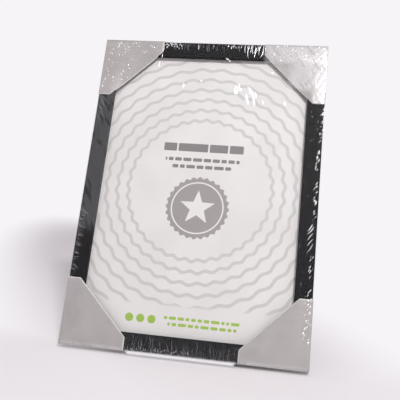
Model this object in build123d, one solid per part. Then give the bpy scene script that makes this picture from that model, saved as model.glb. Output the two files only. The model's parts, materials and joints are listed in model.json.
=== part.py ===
# Standing certificate frame: mitred moulding, clear pane, printed insert, hinged easel strut, turn buttons,
# hanger rings, folded card corner protectors and a clear wrap.
# Pieces are drawn upright in the face frame: x to the right, y from the front face to the back, z up the face,
# origin in the middle of the front face's lower edge. The whole then leans back until it stands on its strut.
from build123d import *
import os
from math import cos, radians, sin, sqrt

# Insert and the stack that lies behind the lip, in millimetres
insert_width = 210.0
insert_height = 297.0
insert_thickness = 0.3
insert_clearance = 1.0
insert_gap = 0.1
pane_clearance = 0.5
glazing_thickness = 2.0
filler_thickness = 3.6
board_thickness = 3.0

# Moulding section
lip_width = 5.0
lip_thickness = 4.0
wall_width = 12.0
face_round = 1.0
sight_round = 0.6
back_chamfer = 0.5

# Steel wedges across the mitres
nail_leg = 3.2
nail_thickness = 0.5
nail_half_angle = 55.0
nail_depth = 8.0
nail_spacing = 6.0

# Turn buttons and their screws
button_thickness = 1.0
button_heel_radius = 4.5
button_nose_radius = 3.5
button_reach = 15.0
button_flat = 11.0
button_lip_rise = 2.0
button_offset_short = 37.0
button_offset_long = 55.0
screw_radius = 1.5
screw_head_radius = 2.8
screw_head_height = 1.5
screw_length = 9.0

# Strut and its hinge
lean_angle = 17.0
open_angle = 32.0
hinge_height = 205.0
hinge_width = 40.0
pin_radius = 1.25
pin_overhang = 0.8
knuckle_wall = 0.9
strut_knuckle_width = 18.0
leaf_thickness = 0.8
leaf_length = 22.0
leaf_round = 4.0
strut_leaf_width = 32.0
strut_leaf_shoulder = 7.0
stop_heel_length = 8.0
strut_thickness = 3.0
strut_head_gap = 0.8
strut_head_width = 42.0
strut_foot_width = 60.0
strut_round = 6.0

# Rivets, and the sides and head chamfer with which all small fasteners are drawn
fastener_sides = 12
fastener_chamfer = 0.5
rivet_radius = 1.5
rivet_head_radius = 3.0
rivet_head_height = 1.1
rivet_tail_radius = 2.2
rivet_tail_depth = 0.5
hinge_rivet_spacing = 24.0
strut_rivet_spacing = 18.0
hinge_rivet_reach = 14.0

# Hangers
wire_radius = 0.9
wire_sides = 10
ring_half_base = 9.0
ring_height = 17.0
ring_base_round = 2.0
ring_tip_round = 2.5
ring_split = 0.3
strap_wall = 0.7
strap_thickness = 0.7
strap_width = 9.0
strap_length = 14.0
strap_round = 3.0
strap_rivet_reach = 9.0
strap_rivet_head_radius = 2.2
hanger_top_inset = 24.0
hanger_side_inset = 24.0

# Card corner protectors and clear wrap
card_thickness = 0.6
card_leg = 64.0
card_end = 12.0
card_flap = 12.0
card_flap_taper = 7.0
card_slit = 0.4
card_fold_round = 0.45
film_thickness = 0.1
film_setback = 3.0

# Clearances
running_clearance = 0.05
rivet_clearance = 0.05
button_clearance = 0.05
stop_clearance = 0.05
closing_clearance = 0.2
strap_bore_offset = 0.15
knuckle_gap = 0.3
film_clearance = 0.05

# Sizes that follow from those above
rebate_width = insert_width + 2 * insert_clearance
rebate_height = insert_height + 2 * insert_clearance
face_width = wall_width + lip_width
outer_width = rebate_width + 2 * wall_width
outer_height = rebate_height + 2 * wall_width
half_width = outer_width / 2
half_height = outer_height / 2
pane_width = rebate_width - 2 * pane_clearance
pane_height = rebate_height - 2 * pane_clearance
insert_front = lip_thickness + glazing_thickness + insert_gap
filler_front = insert_front + insert_thickness
board_front = filler_front + filler_thickness
rail_depth = board_front + board_thickness
knuckle_bore = pin_radius + running_clearance
knuckle_radius = knuckle_bore + knuckle_wall
axis_height = knuckle_radius + closing_clearance
strut_front = leaf_thickness - knuckle_radius
strap_bore = wire_radius + running_clearance
strap_radius = strap_bore + strap_wall
strap_axis_height = strap_radius + strap_bore_offset
mitre_middle = wall_width / sqrt(2)


def plate(sketch, front, thickness):
    """A sketch drawn on the face, made solid from a depth backwards."""
    return extrude(Plane.XZ.offset(-front) * sketch, -thickness)


def section(sketch, width):
    """A sketch drawn across the depth, made solid to both sides of the middle."""
    return extrude(Plane.YZ * sketch, width / 2, both=True)


def corner(sketch, x, y):
    """The corner of a sketch that lies nearest to a point."""
    return sketch.vertices().sort_by_distance(Vector(x, y))[0]


def stub(front, back, radius):
    """A many-sided round bar along the y axis, for shanks, tails and heads."""
    return plate(RegularPolygon(radius, fastener_sides), front, back - front)


def fastener_head(seat, radius, height):
    """A head that stands on depth seat, with its top edge taken off."""
    head = stub(seat, seat + height, radius)
    return chamfer(head.faces().sort_by(Axis.Y)[-1].edges(), fastener_chamfer)


def group(solids):
    """Separate solids of one node."""
    return Compound([solid for shape in solids for solid in shape.solids()])


def rail(length):
    """One mitred length of moulding, drawn as the bottom rail."""
    profile = make_face(Polyline(
        (0, 0),
        (rail_depth, 0),
        (rail_depth, wall_width),
        (lip_thickness, wall_width),
        (lip_thickness, face_width),
        (0, face_width),
        close=True,
    ))
    profile = fillet(corner(profile, 0, 0), face_round)
    profile = fillet(corner(profile, 0, face_width), sight_round)
    profile = chamfer(corner(profile, rail_depth, 0), back_chamfer)
    bar = section(profile, length)
    for side in (-1, 1):
        mitre = Plane(origin=(side * length / 2, 0, 0), z_dir=(side, 0, 1))
        bar = split(bar, bisect_by=mitre, keep=Keep.BOTTOM)
    return bar


def corner_nails():
    """Two bent wedges across each mitre, flush with the backs of the rails, with the bend to the inside."""
    leg = Pos(nail_leg / 2, 0) * Rectangle(nail_leg, nail_thickness)
    bend = Rot(Z=nail_half_angle) * leg + Rot(Z=-nail_half_angle) * leg
    nails = []
    for x_side in (-1, 1):
        for z_side in (-1, 1):
            inner = (x_side * rebate_width / 2, half_height + z_side * rebate_height / 2)
            heading = 90 - x_side * (90 - z_side * 45)
            for step in (-1, 1):
                reach = mitre_middle + step * nail_spacing / 2 - nail_leg * cos(radians(nail_half_angle)) / 2
                place = Pos(*inner) * Rot(Z=heading) * Pos(reach, 0)
                nails.append(plate(place * bend, rail_depth - nail_depth, nail_depth))
    return nails


def turn_button():
    """Flat turn button with a raised finger lip, pivot at the origin, nose up the z axis."""
    tip = Pos(0, button_reach - button_nose_radius) * Circle(button_nose_radius)
    plan = make_hull((Circle(button_heel_radius) + tip).edges())
    blank = plate(plan, 0, button_clearance + button_thickness + button_lip_rise)
    under = button_clearance
    over = button_clearance + button_thickness
    strip = section(make_face(Polyline(
        (under, -button_heel_radius),
        (under, button_flat),
        (under + button_lip_rise, button_reach),
        (over + button_lip_rise, button_reach),
        (over, button_flat),
        (over, -button_heel_radius),
        close=True,
    )), 2 * button_heel_radius)
    pivot = plate(Circle(screw_radius + running_clearance), 0, over)
    return (blank & strip) - pivot


def screw(grow=0.0):
    """Round-headed screw, with the rail's back face at y = 0. grow widens it into its pilot hole."""
    seat = 2 * button_clearance + button_thickness
    return stub(-screw_length, seat, screw_radius + grow) + fastener_head(seat, screw_head_radius, screw_head_height)


def rivet(front, back, head_radius, grow=0.0):
    """Rivet with a flush tail at depth front and its head on depth back. grow widens it into its hole."""
    tail = stub(front, front + rivet_tail_depth, rivet_tail_radius + grow)
    return tail + stub(front, back, rivet_radius + grow) + fastener_head(back, head_radius, rivet_head_height)


def knuckle(bore, radius, width):
    """A rolled knuckle about the x axis."""
    return section(Circle(radius) - Circle(bore), width)


def hinge_board_leaf():
    """Fixed hinge leaf in the hinge's frame: two outer knuckles and a plate on the board."""
    plan = Pos(0, leaf_length / 2) * Rectangle(hinge_width, leaf_length)
    for side in (-1, 1):
        plan = fillet(corner(plan, side * hinge_width / 2, leaf_length), leaf_round)
    gap_width = strut_knuckle_width + 2 * knuckle_gap
    gap_height = knuckle_radius + knuckle_gap
    plan -= Pos(0, gap_height / 2) * Rectangle(gap_width, gap_height)
    leaf = plate(plan, -axis_height, leaf_thickness)
    leaf += knuckle(knuckle_bore, knuckle_radius, hinge_width) - section(Circle(2 * knuckle_radius), gap_width)
    return leaf - section(Circle(knuckle_bore), hinge_width)


def hinge_strut_leaf():
    """Swinging hinge leaf in the strut's frame: middle knuckle, shouldered plate and the heel that stops it."""
    half_knuckle = strut_knuckle_width / 2
    half_leaf = strut_leaf_width / 2
    neck = knuckle_radius + knuckle_gap
    plan = make_face(Polyline(
        (-half_knuckle, 0),
        (-half_knuckle, -neck),
        (-half_leaf, -strut_leaf_shoulder),
        (-half_leaf, -leaf_length),
        (half_leaf, -leaf_length),
        (half_leaf, -strut_leaf_shoulder),
        (half_knuckle, -neck),
        (half_knuckle, 0),
        close=True,
    ))
    for side in (-1, 1):
        plan = fillet(corner(plan, side * half_leaf, -leaf_length), leaf_round)
    leaf = plate(plan, -knuckle_radius, leaf_thickness)
    leaf += knuckle(knuckle_bore, knuckle_radius, strut_knuckle_width)
    heel_plan = Pos(0, (knuckle_bore + stop_heel_length) / 2) * Rectangle(
        strut_knuckle_width, stop_heel_length - knuckle_bore
    )
    heel_front = leaf_thickness + stop_clearance - axis_height
    leaf += Rot(X=-open_angle) * plate(heel_plan, heel_front, leaf_thickness)
    return leaf - section(Circle(knuckle_bore), strut_knuckle_width)


def strut_board():
    """Tapered easel strut in its own frame, still longer than the floor allows."""
    head = -(knuckle_radius + strut_head_gap)
    board = make_face(Polyline(
        (-strut_head_width / 2, head),
        (strut_head_width / 2, head),
        (strut_foot_width / 2, -hinge_height),
        (-strut_foot_width / 2, -hinge_height),
        close=True,
    ))
    for side in (-1, 1):
        board = fillet(corner(board, side * strut_head_width / 2, head), strut_round)
    return plate(board, strut_front, strut_thickness)


def hanger_plate():
    """Rolled strap in the hanger's frame, plate down the z axis and lying on the board."""
    plan = Pos(0, -strap_length / 2) * Rectangle(strap_width, strap_length)
    for side in (-1, 1):
        plan = fillet(corner(plan, side * strap_width / 2, -strap_length), strap_round)
    strap = plate(plan, -strap_axis_height, strap_thickness)
    strap += knuckle(strap_bore, strap_radius, strap_width)
    return strap - section(Circle(strap_bore), strap_width)


def hanger_ring():
    """Triangular wire ring in the hanger's frame, hanging down the z axis, its ends meeting inside the strap."""
    path = Plane.XZ * FilletPolyline(
        (ring_split / 2, 0),
        (ring_half_base, 0),
        (0, -ring_height),
        (-ring_half_base, 0),
        (-ring_split / 2, 0),
        radius=[ring_base_round, ring_tip_round, ring_base_round],
    )
    start = Plane(origin=path @ 0, z_dir=path % 0)
    return sweep(start * RegularPolygon(wire_radius, wire_sides), path=path)


def corner_protector():
    """Folded card corner for the lower left of the frame: front panel, two side walls and two back flaps."""
    blank = make_face(Polyline(
        (-card_thickness, -card_thickness),
        (card_leg, -card_thickness),
        (card_leg, card_end),
        (card_end, card_leg),
        (-card_thickness, card_leg),
        close=True,
    ))
    inside = Pos(card_leg, card_leg) * Rectangle(2 * card_leg, 2 * card_leg)
    card = plate(blank, -card_thickness, rail_depth + 2 * card_thickness)
    card -= plate(inside, 0, rail_depth)
    back_gap = make_face(Polyline(
        (card_leg, -card_thickness),
        (card_leg - card_flap_taper, card_flap),
        (card_flap, card_flap),
        (card_flap, card_leg - card_flap_taper),
        (-card_thickness, card_leg),
        (card_leg, card_leg),
        close=True,
    ))
    card -= plate(back_gap, rail_depth, card_thickness)
    slit_centre = (card_slit - card_thickness) / 2
    wall_slit = Pos(slit_centre, slit_centre) * Rectangle(card_thickness + card_slit, card_thickness + card_slit)
    card -= plate(wall_slit, 0, rail_depth + card_thickness)
    flap_slit = Rot(Z=45) * Rectangle(4 * card_flap, card_slit)
    card -= plate(flap_slit, rail_depth, card_thickness)
    folds = [
        edge
        for edge in card.edges()
        if edge.length > card_end
        and min(abs(edge.center().X + card_thickness), abs(edge.center().Z + card_thickness)) < card_slit / 2
        and min(abs(edge.center().Y + card_thickness), abs(edge.center().Y - rail_depth - card_thickness))
        < card_slit / 2
    ]
    return fillet(folds, card_fold_round)


def wrap():
    """Clear wrap over the front and the sides, cut open at the back so that the strut can swing."""
    gap = card_thickness + film_clearance
    back = rail_depth + card_thickness - film_setback
    inner = Pos(0, half_height) * Rectangle(outer_width + 2 * gap, outer_height + 2 * gap)
    skin = offset(inner, film_thickness, kind=Kind.INTERSECTION)
    return plate(skin, -gap - film_thickness, back + gap + film_thickness) - plate(inner, -gap, back + gap)


def sheet(width, height, front, thickness):
    """A flat sheet of the stack, centred in the rebate."""
    return plate(Pos(0, half_height) * Rectangle(width, height), front, thickness)


# Places in the face frame
hinge_place = Pos(0, rail_depth + axis_height, hinge_height)
strut_place = hinge_place * Rot(X=open_angle)
strap_depth = rail_depth + strap_axis_height
hanger_top_place = Pos(0, strap_depth, half_height + pane_height / 2 - hanger_top_inset)
hanger_side_place = Pos(pane_width / 2 - hanger_side_inset, strap_depth, half_height) * Rot(Y=90)
rail_line = half_width - wall_width / 2
rail_rise = half_height - wall_width / 2
button_places = {
    "turn_button_1": Pos(-button_offset_short, rail_depth, half_height + rail_rise) * Rot(Y=180),
    "turn_button_2": Pos(button_offset_short, rail_depth, half_height + rail_rise) * Rot(Y=180),
    "turn_button_3": Pos(rail_line, rail_depth, half_height + button_offset_long) * Rot(Y=-90),
    "turn_button_4": Pos(rail_line, rail_depth, half_height - button_offset_long) * Rot(Y=-90),
    "turn_button_5": Pos(button_offset_short, rail_depth, half_height - rail_rise),
    "turn_button_6": Pos(-button_offset_short, rail_depth, half_height - rail_rise),
    "turn_button_7": Pos(-rail_line, rail_depth, half_height - button_offset_long) * Rot(Y=90),
    "turn_button_8": Pos(-rail_line, rail_depth, half_height + button_offset_long) * Rot(Y=90),
}

# Floor in the face frame: it touches the folded lower back edges of the protectors
floor_normal = Vector(0, -sin(radians(lean_angle)), cos(radians(lean_angle)))
fold_centre = Vector(0, rail_depth + card_thickness - card_fold_round, card_fold_round - card_thickness)
floor = Plane(origin=fold_centre - floor_normal * card_fold_round, z_dir=floor_normal)

pieces = {
    "rail_bottom": rail(outer_width),
    "rail_top": Pos(0, 0, outer_height) * Rot(Y=180) * rail(outer_width),
    "rail_left": Pos(-half_width, 0, half_height) * Rot(Y=90) * rail(outer_height),
    "rail_right": Pos(half_width, 0, half_height) * Rot(Y=-90) * rail(outer_height),
    "glazing": sheet(pane_width, pane_height, lip_thickness, glazing_thickness),
    "insert_sheet": sheet(insert_width, insert_height, insert_front, insert_thickness),
    "filler_card": sheet(pane_width, pane_height, filler_front, filler_thickness),
    "backing_board": sheet(pane_width, pane_height, board_front, board_thickness),
    "shrink_film": wrap(),
}

# Wedges and screws, with their seats in the rails
nails = corner_nails()
screws = [place * screw() for place in button_places.values()]
pilots = [place * screw(rivet_clearance) for place in button_places.values()]
for name in ("rail_bottom", "rail_top", "rail_left", "rail_right"):
    pieces[name] -= nails + pilots
pieces["corner_v_nails"] = group(nails)
pieces["turn_button_screws"] = group(screws)
for name, place in button_places.items():
    pieces[name] = place * turn_button()

# Hinge: leaves, pin and rivets
leaf_back = rail_depth + leaf_thickness
board_rivet_places = [
    Pos(side * hinge_rivet_spacing / 2, 0, hinge_height + hinge_rivet_reach) for side in (-1, 1)
]
strut_rivet_places = [
    strut_place * Pos(side * strut_rivet_spacing / 2, 0, -hinge_rivet_reach) for side in (-1, 1)
]
strut_back = strut_front + strut_thickness
leaf_rivet = rivet(board_front, leaf_back, rivet_head_radius)
leaf_hole = rivet(board_front, leaf_back, rivet_head_radius, rivet_clearance)
strut_rivet = rivet(-knuckle_radius, strut_back, rivet_head_radius)
strut_hole = rivet(-knuckle_radius, strut_back, rivet_head_radius, rivet_clearance)
board_holes = [place * leaf_hole for place in board_rivet_places]
strut_holes = [place * strut_hole for place in strut_rivet_places]
strut_long = strut_place * strut_board()
pieces["hinge_board_leaf"] = hinge_place * hinge_board_leaf() - board_holes
pieces["hinge_strut_leaf"] = strut_place * hinge_strut_leaf() - strut_holes
pieces["strut"] = split(strut_long, bisect_by=floor, keep=Keep.TOP) - strut_holes
pieces["hinge_pin"] = hinge_place * section(Circle(pin_radius), hinge_width + 2 * pin_overhang)
pieces["hinge_board_rivets"] = group([place * leaf_rivet for place in board_rivet_places])
pieces["hinge_strut_rivets"] = group([place * strut_rivet for place in strut_rivet_places])

# Hangers: the top ring hangs plumb, the side ring swings out from the board
strap_back = rail_depth + strap_thickness
strap_rivet_places = [
    hanger_top_place * Pos(0, -strap_depth, -strap_rivet_reach),
    hanger_side_place * Pos(0, -strap_depth, -strap_rivet_reach),
]
strap_rivet = rivet(board_front, strap_back, strap_rivet_head_radius)
strap_hole = rivet(board_front, strap_back, strap_rivet_head_radius, rivet_clearance)
strap_holes = [place * strap_hole for place in strap_rivet_places]
pieces["hanger_plate_top"] = hanger_top_place * hanger_plate() - strap_holes
pieces["hanger_plate_side"] = hanger_side_place * hanger_plate() - strap_holes
pieces["hanger_ring_top"] = hanger_top_place * Rot(X=lean_angle) * hanger_ring()
pieces["hanger_ring_side"] = hanger_side_place * Rot(X=90) * hanger_ring()
pieces["hanger_rivets"] = group([place * strap_rivet for place in strap_rivet_places])
pieces["backing_board"] -= board_holes + strap_holes

# Corner protectors, mirrored from the lower left one
lower_left = Pos(-half_width, 0, 0) * corner_protector()
lower_right = mirror(lower_left, about=Plane.YZ)
middle = Plane.XY.offset(half_height)
pieces["corner_protector_bottom_left"] = lower_left
pieces["corner_protector_bottom_right"] = lower_right
pieces["corner_protector_top_left"] = mirror(lower_left, about=middle)
pieces["corner_protector_top_right"] = mirror(lower_right, about=middle)

# Lean the whole back onto the floor, with the origin under the middle of its depth
leaning = Rot(X=-lean_angle)
front_reach = (leaning * pieces["shrink_film"]).bounding_box().min.Y
back_reach = (leaning * pieces["strut"]).bounding_box().max.Y
floor_level = (leaning * floor.location).position.Z
stand = Pos(0, -(front_reach + back_reach) / 2, -floor_level) * leaning

os.makedirs("parts", exist_ok=True)
for name, piece in pieces.items():
    export_step(stand * piece, f"parts/{name}.step")
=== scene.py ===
import json
import math
import random

import bpy
import numpy as np
from mathutils import Matrix, Vector


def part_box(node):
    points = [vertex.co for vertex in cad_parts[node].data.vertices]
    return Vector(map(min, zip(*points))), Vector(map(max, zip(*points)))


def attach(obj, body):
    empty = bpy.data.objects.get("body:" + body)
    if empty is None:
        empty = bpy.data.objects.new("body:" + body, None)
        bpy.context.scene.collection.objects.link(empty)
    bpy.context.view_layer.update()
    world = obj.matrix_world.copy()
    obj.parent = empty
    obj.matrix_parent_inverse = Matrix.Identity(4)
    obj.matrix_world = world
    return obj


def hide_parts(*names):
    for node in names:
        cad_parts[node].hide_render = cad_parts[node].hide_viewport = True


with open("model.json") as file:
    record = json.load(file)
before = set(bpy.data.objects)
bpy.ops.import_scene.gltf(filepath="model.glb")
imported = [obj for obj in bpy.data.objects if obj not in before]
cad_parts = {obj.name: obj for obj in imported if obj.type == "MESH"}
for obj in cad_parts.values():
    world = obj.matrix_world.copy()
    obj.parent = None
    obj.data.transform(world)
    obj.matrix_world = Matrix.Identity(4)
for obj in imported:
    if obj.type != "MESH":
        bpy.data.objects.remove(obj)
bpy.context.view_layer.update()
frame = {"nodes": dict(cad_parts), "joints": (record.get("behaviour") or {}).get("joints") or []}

nodes = frame["nodes"]
pivots = {joint["name"]: Vector(joint["pos_m"]) for joint in frame["joints"]}
MM = 0.001

# Frame: lean of its face, opening of its strut, sizes of its rails, numbers of its buttons
LEAN = math.radians(17.0)
OPEN = math.radians(32.0)
WIDTH = 236.0
HEIGHT = 323.0
DEPTH = 13.0
FACE_WIDTH = 17.0
BUTTONS = range(1, 9)
# Thickness of card and film, the play inside each, and how far the film stands out from the rails
CARD = 0.6
CARD_PLAY = 0.05
FILM = 0.1
FILM_PLAY = 0.05
FILM_REACH = CARD + FILM_PLAY + FILM

# Where the face frame stands, read from the wrap's box
film_low, film_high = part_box("shrink_film")
STAND = Vector((
    0.0,
    film_low.y + FILM_REACH * MM * (math.cos(LEAN) + math.sin(LEAN)),
    film_high.z - MM * (FILM_REACH * math.sin(LEAN) + (HEIGHT + FILM_REACH) * math.cos(LEAN)),
))
LEANING = Matrix.Rotation(-LEAN, 4, "X")
FACE = Matrix.Translation(STAND) @ LEANING @ Matrix.Scale(MM, 4)


def colour(red, green, blue):
    """A colour given as it looks, 0 to 255, in the linear values that shaders take."""
    shares = [channel / 255 for channel in (red, green, blue)]
    return tuple(s / 12.92 if s <= 0.04045 else ((s + 0.055) / 1.055) ** 2.4 for s in shares) + (1.0,)


# Colours
BLACK_FOIL = colour(15, 14, 16)
BLACK_FOIL_WORN = colour(24, 23, 25)
DUST = colour(140, 137, 135)
PAPER = colour(235, 230, 229)
PAPER_SHADE = colour(229, 223, 222)
RING_GREY = colour(209, 204, 203)
SEAL_GREY = colour(162, 154, 154)
WORD_GREY = colour(132, 126, 126)
GREEN = colour(160, 192, 74)
BOARD = colour(158, 124, 88)
BOARD_DARK = colour(116, 86, 58)
BOARD_PALE = colour(190, 158, 118)
FILLER = colour(168, 140, 104)
FILLER_DARK = colour(132, 106, 76)
STEEL = colour(206, 207, 208)
STEEL_DULL = colour(176, 178, 182)
SILVER = colour(176, 171, 170)
SILVER_SHADE = colour(168, 163, 163)
CARD_CORE = colour(232, 229, 226)
CARD_CORE_SHADE = colour(212, 208, 203)
FILM_WHITE = colour(250, 250, 252)
FLOOR = colour(238, 233, 235)
BACKDROP = colour(247, 244, 248)


# Shader helpers
def material(name):
    """A new material and its empty node tree."""
    made = bpy.data.materials.new(name)
    made.use_nodes = True
    made.node_tree.nodes.clear()
    return made, made.node_tree


def node(tree, kind, inputs, **settings):
    """A shader node with its settings, and with values or links on its inputs."""
    made = tree.nodes.new("ShaderNode" + kind)
    for name, value in settings.items():
        setattr(made, name, value)
    for key, value in inputs.items():
        if isinstance(value, bpy.types.NodeSocket):
            tree.links.new(value, made.inputs[key])
        else:
            made.inputs[key].default_value = value
    return made


def calc(tree, operation, *values):
    """One step of arithmetic on values or links."""
    return node(tree, "Math", dict(enumerate(values)), operation=operation).outputs[0]


def times(tree, first, second):
    """The product of two values."""
    return calc(tree, "MULTIPLY", first, second)


def minus(tree, first, second):
    """The first value less the second."""
    return calc(tree, "SUBTRACT", first, second)


def ramp(tree, value, low, high, start=0.0, end=1.0):
    """value taken smoothly from start at low to end at high."""
    inputs = {"Value": value, "From Min": low, "From Max": high, "To Min": start, "To Max": end}
    return node(tree, "MapRange", inputs, interpolation_type="SMOOTHSTEP").outputs[0]


def blend(tree, share, first, second):
    """A share of the second colour over the first."""
    return node(tree, "Mix", {0: share, 6: first, 7: second}, data_type="RGBA").outputs[2]


def mix_shaders(tree, share, first, second):
    """A share of the second shader over the first."""
    return node(tree, "MixShader", {0: share, 1: first.outputs[0], 2: second.outputs[0]})


def apart(tree, first, second):
    """How far two values lie apart."""
    return calc(tree, "ABSOLUTE", minus(tree, first, second))


def hypot(tree, across, up):
    """The straight distance over two at right angles."""
    square = calc(tree, "MULTIPLY_ADD", across, across, times(tree, up, up))
    return calc(tree, "SQRT", square)


def largest(tree, masks):
    """The largest of several masks at each point."""
    most = masks[0]
    for mask in masks[1:]:
        most = calc(tree, "MAXIMUM", most, mask)
    return most


def face_place(tree):
    """The shaded point in the face frame, in millimetres."""
    here = node(tree, "TexCoord", {}).outputs["Object"]
    turn = Matrix.Rotation(LEAN, 3, "X")
    inputs = {
        "Vector": here,
        "Location": -(turn @ STAND) / MM,
        "Rotation": (LEAN, 0.0, 0.0),
        "Scale": (1 / MM, 1 / MM, 1 / MM),
    }
    return node(tree, "Mapping", inputs).outputs[0]


def noise(tree, place, scale, detail=3.0, stretch=(1.0, 1.0, 1.0)):
    """Soft noise of about 1 / scale millimetres, drawn out where stretch is small."""
    drawn = node(tree, "VectorMath", {0: place, 1: stretch}, operation="MULTIPLY").outputs[0]
    return node(tree, "TexNoise", {"Vector": drawn, "Scale": scale, "Detail": detail}).outputs["Fac"]


def bump(tree, height, depth, strength):
    """A normal from a height between 0 and 1 that stands for a depth in millimetres."""
    inputs = {"Strength": strength, "Distance": depth * MM, "Height": height}
    return node(tree, "Bump", inputs).outputs[0]


def surface(tree, shader):
    """Ends a material with its shader."""
    node(tree, "OutputMaterial", {"Surface": shader.outputs[0]})


def principled(tree, inputs):
    """Ends a material with an all-round shader."""
    surface(tree, node(tree, "BsdfPrincipled", inputs))


def mirror_share(tree, inputs):
    """How much a clear sheet mirrors, on its front only: rays pass it unbent, so they leave it freely."""
    behind = node(tree, "NewGeometry", {}).outputs["Backfacing"]
    share = node(tree, "Fresnel", inputs).outputs[0]
    return times(tree, share, minus(tree, 1.0, behind))


# Materials: drawn-out grain of the foil on level and upright rails, tint and refraction of clear sheets, and
# the turn of the filler's flutes to a millimetre
DRAWN_LEVEL = (0.03, 1.0, 1.0)
DRAWN_UPRIGHT = (1.0, 1.0, 0.03)
PANE_TINT = (0.985, 0.99, 0.988, 1.0)
PANE_IOR = 1.3
FILM_TINT = (0.985, 0.985, 0.985, 1.0)
FILM_IOR = 1.2
FLUTE_TURN = 1.05


def moulding_material(name, stretch):
    """Satin black foil with a faint lengthwise drawing mark and a little dust."""
    made, tree = material(name)
    place = face_place(tree)
    drawn = noise(tree, place, 2.2, 4.0, stretch)
    mottle = noise(tree, place, 0.15)
    dust = ramp(tree, noise(tree, place, 3.1, 2.0), 0.70, 0.76)
    base = blend(tree, drawn, BLACK_FOIL, BLACK_FOIL_WORN)
    principled(tree, {
        "Base Color": blend(tree, times(tree, dust, 0.35), base, DUST),
        "Roughness": ramp(tree, calc(tree, "ADD", drawn, mottle), 0.7, 1.3, 0.46, 0.60),
        "Specular IOR Level": 0.12,
        "Normal": bump(tree, drawn, 0.02, 0.5),
    })
    return made


def pane_material():
    """Clear styrene pane: it mirrors a little, with faint smears in the gloss."""
    made, tree = material("clear_pane")
    smear = noise(tree, face_place(tree), 0.03, 5.0)
    gloss = node(tree, "BsdfGlossy", {"Roughness": ramp(tree, smear, 0.4, 0.7, 0.02, 0.08)})
    clear = node(tree, "BsdfTransparent", {"Color": PANE_TINT})
    surface(tree, mix_shaders(tree, mirror_share(tree, {"IOR": PANE_IOR}), clear, gloss))
    return made


# Print on the insert: a rosette of petal-edged rings, rows of blank words, a seal and green marks
PRINT_CENTRE = 164.0
RING_FIRST = 73.0
RING_PITCH = 11.5
RING_STROKE = 3.2
RING_PETALS = 36
RING_WAVE = 1.2
RING_COUNT = 7
RING_END = 46.0
RING_FADE = 2.0
SOFT_EDGE = 0.2
WORD_GAP = 1.9
WORD_ROUND = 0.9
# Rows of words: middle across, middle up from the print's centre, half length, height, usual word length
GREY_ROWS = ((0.0, 43.0, 41.0, 8.4, 24.0), (0.0, 30.0, 38.0, 3.4, 9.0), (0.0, 22.5, 30.0, 3.4, 9.0))
GREEN_ROWS = ((17.0, -129.6, 37.0, 2.6, 7.0), (17.0, -135.4, 33.0, 2.6, 7.0))
GREEN_DOTS = ((-54.0, -132.5), (-43.0, -132.5), (-32.0, -132.5))
GREEN_DOT_RADIUS = 3.9
SEAL_UP = -20.0
SEAL_RADIUS = 31.0
SEAL_SCALLOP = 1.0
SEAL_SCALLOPS = 28
SEAL_LINE_RADIUS = 26.0
SEAL_LINE_HALF = 0.6
STAR_POINTS = 5
STAR_RADIUS = 18.0
STAR_INNER = 7.4


def word_row(tree, across, up, row):
    """Blank bars of uneven length in one row, as lines of words look from afar."""
    middle_across, middle_up, half, height, length = row
    along = calc(tree, "MULTIPLY_ADD", across, 1 / length, middle_up)
    cells = node(
        tree, "TexVoronoi", {"W": along, "Scale": 1.0},
        voronoi_dimensions="1D", feature="DISTANCE_TO_EDGE",
    )
    inside = calc(tree, "MULTIPLY_ADD", cells.outputs["Distance"], length, -WORD_GAP / 2)
    from_end = minus(tree, half, apart(tree, across, middle_across))
    inside = calc(tree, "MINIMUM", inside, from_end)
    over_across = calc(tree, "MAXIMUM", minus(tree, WORD_ROUND, inside), 0.0)
    over_up = minus(tree, apart(tree, up, middle_up), height / 2 - WORD_ROUND)
    over_up = calc(tree, "MAXIMUM", over_up, 0.0)
    return ramp(tree, hypot(tree, over_across, over_up), WORD_ROUND + SOFT_EDGE, WORD_ROUND)


def word_rows(tree, across, up, rows):
    """Several rows of words in one mask."""
    return largest(tree, [word_row(tree, across, up, row) for row in rows])


def seal_masks(tree, across, up):
    """A disc with a scalloped edge, and the thin ring and the star that are left blank in it."""
    height = minus(tree, up, SEAL_UP)
    reach = hypot(tree, across, height)
    angle = calc(tree, "ARCTAN2", across, height)
    wave = calc(tree, "COSINE", times(tree, angle, SEAL_SCALLOPS))
    edge = calc(tree, "MULTIPLY_ADD", wave, SEAL_SCALLOP, SEAL_RADIUS)
    disc = ramp(tree, minus(tree, reach, edge), SOFT_EDGE, 0.0)
    off_line = apart(tree, reach, SEAL_LINE_RADIUS)
    line = ramp(tree, off_line, SEAL_LINE_HALF + SOFT_EDGE, SEAL_LINE_HALF)
    half_point = math.pi / STAR_POINTS
    folded = calc(tree, "PINGPONG", angle, half_point)
    slope = Vector((
        STAR_INNER * math.sin(half_point), STAR_RADIUS - STAR_INNER * math.cos(half_point),
    )).normalized()
    along = times(tree, times(tree, reach, calc(tree, "COSINE", folded)), slope.x)
    aside = times(tree, times(tree, reach, calc(tree, "SINE", folded)), slope.y)
    beyond = minus(tree, calc(tree, "ADD", along, aside), STAR_RADIUS * slope.x)
    return disc, largest(tree, [line, ramp(tree, beyond, SOFT_EDGE, 0.0)])


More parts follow.
